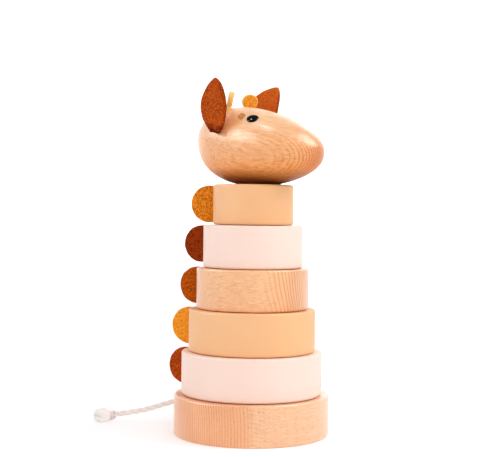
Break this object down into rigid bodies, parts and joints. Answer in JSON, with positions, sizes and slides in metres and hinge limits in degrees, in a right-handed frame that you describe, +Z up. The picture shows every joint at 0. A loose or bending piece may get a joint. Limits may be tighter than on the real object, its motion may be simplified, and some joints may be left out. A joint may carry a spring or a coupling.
{
  "type": "stacking toy",
  "caption": "Wooden giraffe stacking toy: tapering painted and plain rings on a peg, felt mane, ears and horns, pebble head that lifts off, and a knotted cord tail.",
  "frame": {"origin": "centre of the base's underside, on the peg's axis", "axes": "+Z up along the peg, +X the way the body faces, so that the mane and the tail are on the -X side"},
  "size_m": [0.1506, 0.09, 0.2057],
  "materials": {
    "beech": "oiled, fine flecked grain",
    "blush_paint": "matt water-based paint on beech",
    "apricot_paint": "matt water-based paint on beech",
    "felt_rust": "dense wool felt",
    "felt_deep_rust": "dense wool felt",
    "felt_cinnamon": "dense wool felt",
    "felt_mustard": "dense wool felt",
    "felt_ochre": "dense wool felt",
    "eye_black": "glossy",
    "cotton": "twisted cotton"
  },
  "bodies": {
    "base": {"base_disc": "beech", "centre_peg": "beech", "tail_cord": "cotton", "tail_knot": "cotton", "tail_tassel": "cotton"},
    "ring_1": {"ring_1_blush": "blush_paint", "mane_felt_1": "felt_rust"},
    "ring_2": {"ring_2_apricot": "apricot_paint", "mane_felt_2": "felt_mustard"},
    "ring_3": {"ring_3_beech": "beech", "mane_felt_3": "felt_cinnamon"},
    "ring_4": {"ring_4_blush": "blush_paint", "mane_felt_4": "felt_deep_rust"},
    "ring_5": {"ring_5_apricot": "apricot_paint", "mane_felt_5": "felt_ochre"},
    "head": {"head_block": "beech", "ear_right": "felt_rust", "ear_left": "felt_rust", "horn_right": "felt_mustard", "horn_left": "felt_mustard", "eye_right": "eye_black", "eye_left": "eye_black"}
  },
  "joints": [
    {"name": "ring_1_lift", "type": "slide", "parent": "base", "child": "ring_1", "axis": [0, 0, 1], "range_m": [0, 0.14]},
    {"name": "ring_2_lift", "type": "slide", "parent": "ring_1", "child": "ring_2", "axis": [0, 0, 1], "range_m": [0, 0.1152]},
    {"name": "ring_3_lift", "type": "slide", "parent": "ring_2", "child": "ring_3", "axis": [0, 0, 1], "range_m": [0, 0.0906]},
    {"name": "ring_4_lift", "type": "slide", "parent": "ring_3", "child": "ring_4", "axis": [0, 0, 1], "range_m": [0, 0.0667]},
    {"name": "ring_5_lift", "type": "slide", "parent": "ring_4", "child": "ring_5", "axis": [0, 0, 1], "range_m": [0, 0.0418]},
    {"name": "head_lift", "type": "slide", "parent": "ring_5", "child": "head", "axis": [0, 0, 1], "range_m": [0, 0.0183]}
  ]
}
